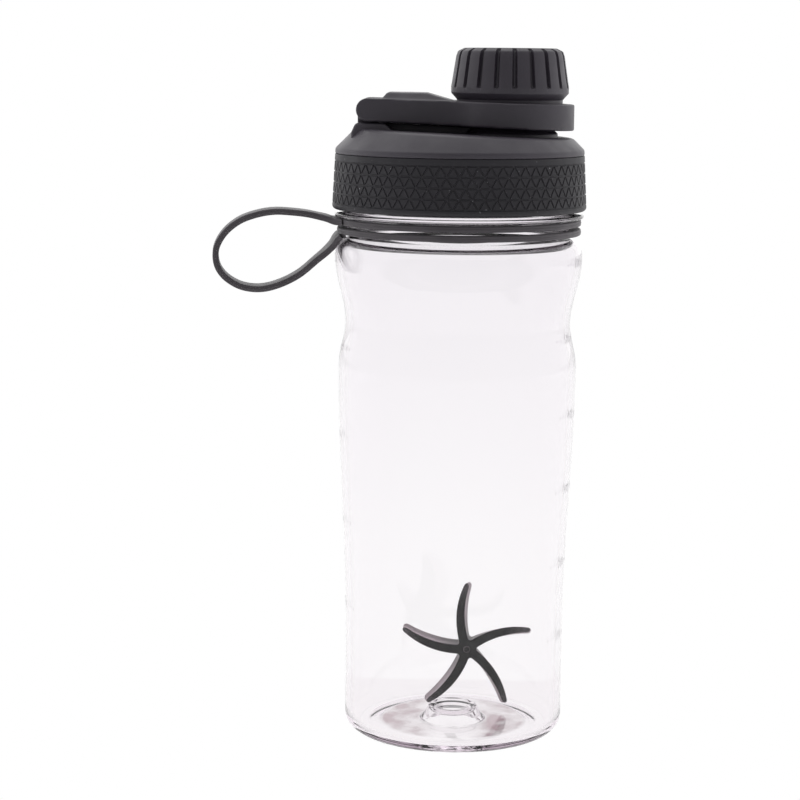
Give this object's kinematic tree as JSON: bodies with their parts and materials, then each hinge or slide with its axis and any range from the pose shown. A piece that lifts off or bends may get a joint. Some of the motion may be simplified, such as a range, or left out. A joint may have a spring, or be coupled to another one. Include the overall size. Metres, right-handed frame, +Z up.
{
  "type": "protein shaker bottle",
  "caption": "Clear plastic shaker bottle with a screw lid, a soft grip band, a flip-away spout cap on a hinged tether, a carry strap loop and a loose mixing star inside.",
  "frame": {"origin": "centre of the ring that the bottle stands on, on the bottle's axis", "axes": "+Z up along the bottle's axis, towards the cap; +X from the tether's hinge towards the spout and cap, with the strap's loop on the -X side; -Y is the front, and the graduation marks are near the +X and -X sides"},
  "size_m": [0.1223, 0.0834, 0.2265],
  "materials": {
    "bottle": "clear moulded copolyester with a faint grey-pink tint",
    "strap": "matte charcoal silicone",
    "mixer": "smoky translucent plastic, paler at the tips",
    "seal": "soft pale silicone",
    "lid": "fine satin charcoal polypropylene",
    "band": "soft-touch elastomer with a moulded triangle pattern",
    "pin": "plain turned steel"
  },
  "bodies": {
    "bottle": {"bottle": "bottle"},
    "strap": {"strap_lower_ring": "strap", "strap_upper_ring": "strap", "strap_loop": "strap"},
    "seal": {"lid_seal": "seal"},
    "lid": {"lid_shell": "lid", "grip_band": "band", "hinge_pin": "pin"},
    "tether": {"tether_arm": "lid"},
    "cap": {"spout_cap": "lid", "cap_liner": "seal"},
    "mixer": {"mixer": "mixer"}
  },
  "joints": [
    {"name": "strap_turn", "type": "hinge", "parent": "bottle", "child": "strap", "pos_m": [0, 0, 0.1686], "axis": [0, 0, 1], "continuous": true},
    {"name": "lid_lift", "type": "slide", "parent": "bottle", "child": "seal", "axis": [0, 0, 1], "range_m": [0, 0.06]},
    {"name": "lid_turn", "type": "hinge", "parent": "seal", "child": "lid", "pos_m": [0, 0, 0.183], "axis": [0, 0, 1], "range_deg": [0, 450]},
    {"name": "tether_swing", "type": "hinge", "parent": "lid", "child": "tether", "pos_m": [-0.0298, 0, 0.2065], "axis": [0, -1, 0], "range_deg": [0, 170]},
    {"name": "cap_turn", "type": "hinge", "parent": "tether", "child": "cap", "pos_m": [0.016, 0, 0.212], "axis": [0, 0, 1], "range_deg": [0, 450]},
    {"name": "mixer_shake", "type": "slide", "parent": "bottle", "child": "mixer", "axis": [0, 0, 1], "range_m": [0, 0.09]}
  ]
}
